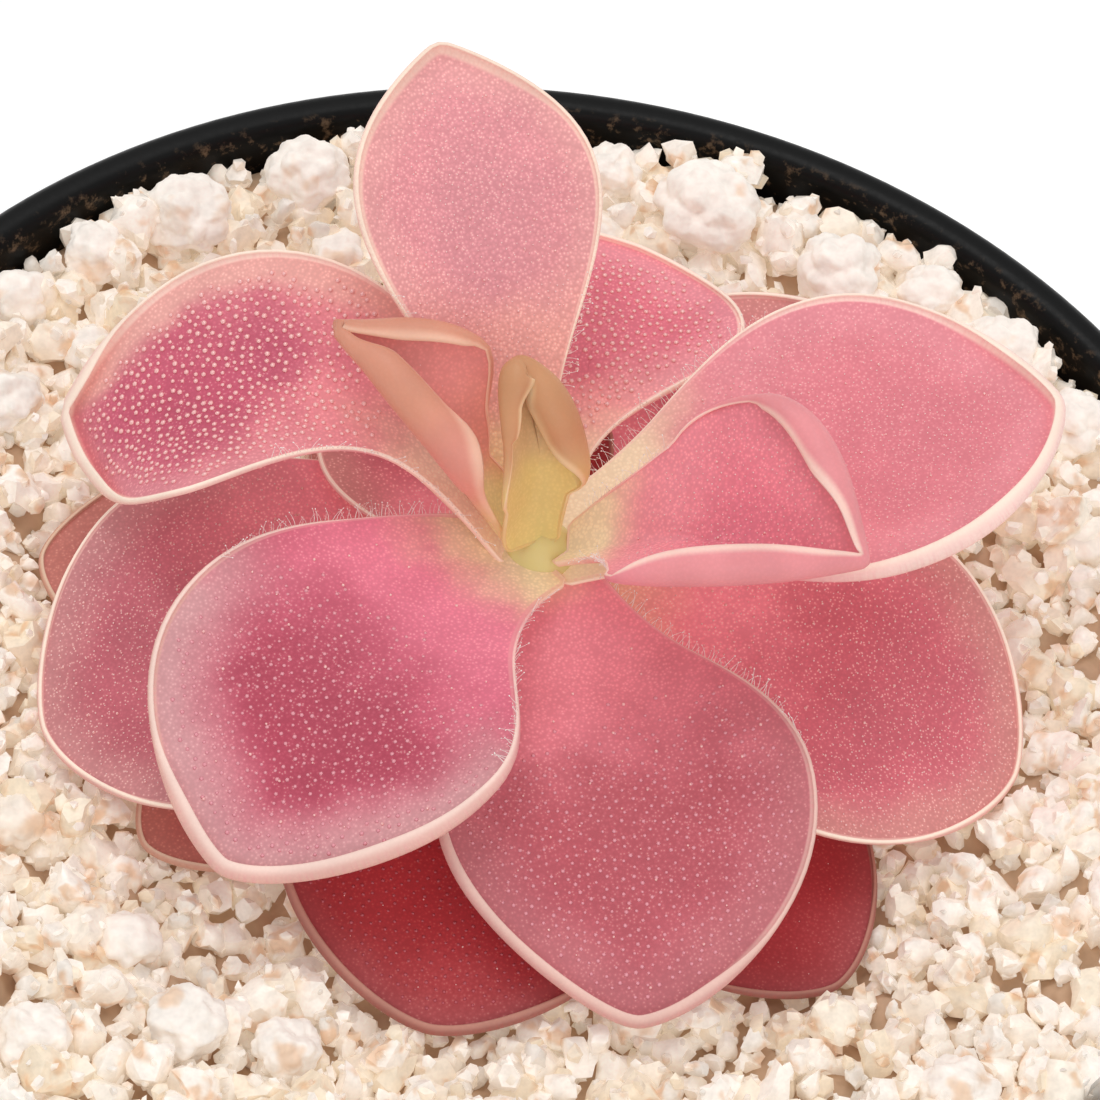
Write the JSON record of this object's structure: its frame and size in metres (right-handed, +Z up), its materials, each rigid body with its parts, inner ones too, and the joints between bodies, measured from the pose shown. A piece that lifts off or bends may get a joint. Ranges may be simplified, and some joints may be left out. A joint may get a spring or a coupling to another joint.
{
  "type": "potted butterwort",
  "caption": "Carnivorous house plant: a rosette of fleshy pink leaves with rolled margins, rooted in gritty mix in a round black nursery pot.",
  "frame": {"origin": "middle of the circle that the pot stands on, on the surface under it", "axes": "+Z up along the pot's axis; -Y towards the front, from where the picture looks down at the plant; +X to the right as seen from the front"},
  "size_m": [0.08, 0.08, 0.0899],
  "materials": {
    "pot_black": "satin injection-moulded black polypropylene",
    "grit_cream": "loose rounded quartz grit, translucent to cream, with brown dirt between the grains",
    "pumice_white": "dry porous off-white pumice with yellow-brown stains",
    "crown_yellow_green": "moist yellow-green stem",
    "leaf_pink": "fleshy pink leaf, wet with gland droplets, pale rolled margin",
    "leaf_dark_red": "fleshy dark red leaf, wet with gland droplets",
    "leaf_peach": "young peach-pink leaf rolled up on both sides"
  },
  "bodies": {
    "root": {"pot": "pot_black", "gritty_mix": "grit_cream", "crown_and_root": "crown_yellow_green", "leaf_heart": "leaf_peach", "leaf_bud_left": "leaf_peach", "leaf_young_right": "leaf_pink", "leaf_back_upright": "leaf_pink", "leaf_front_left": "leaf_pink", "leaf_left_arched": "leaf_pink", "leaf_right_broad": "leaf_pink", "leaf_back_right": "leaf_pink", "leaf_front": "leaf_pink", "leaf_back_short": "leaf_pink", "leaf_back_left_short": "leaf_pink", "leaf_left_low": "leaf_pink", "leaf_right_low": "leaf_pink", "leaf_back_left_low": "leaf_pink", "leaf_back_right_low": "leaf_dark_red", "leaf_back_low": "leaf_pink", "leaf_front_low": "leaf_dark_red", "leaf_left_bottom": "leaf_dark_red", "leaf_front_left_bottom": "leaf_dark_red", "leaf_front_right_bottom": "leaf_dark_red", "pumice_01": "pumice_white", "pumice_02": "pumice_white", "pumice_03": "pumice_white", "pumice_04": "pumice_white", "pumice_05": "pumice_white", "pumice_06": "pumice_white", "pumice_07": "pumice_white", "pumice_08": "pumice_white", "pumice_09": "pumice_white", "pumice_10": "pumice_white", "pumice_11": "pumice_white", "pumice_12": "pumice_white", "pumice_13": "pumice_white", "pumice_14": "pumice_white", "pumice_15": "pumice_white", "pumice_16": "pumice_white", "pumice_17": "pumice_white", "pumice_18": "pumice_white", "pumice_19": "pumice_white", "pumice_20": "pumice_white", "pumice_21": "pumice_white", "pumice_22": "pumice_white", "pumice_23": "pumice_white", "pumice_24": "pumice_white", "pumice_25": "pumice_white", "pumice_26": "pumice_white"}
  },
  "joints": []
}
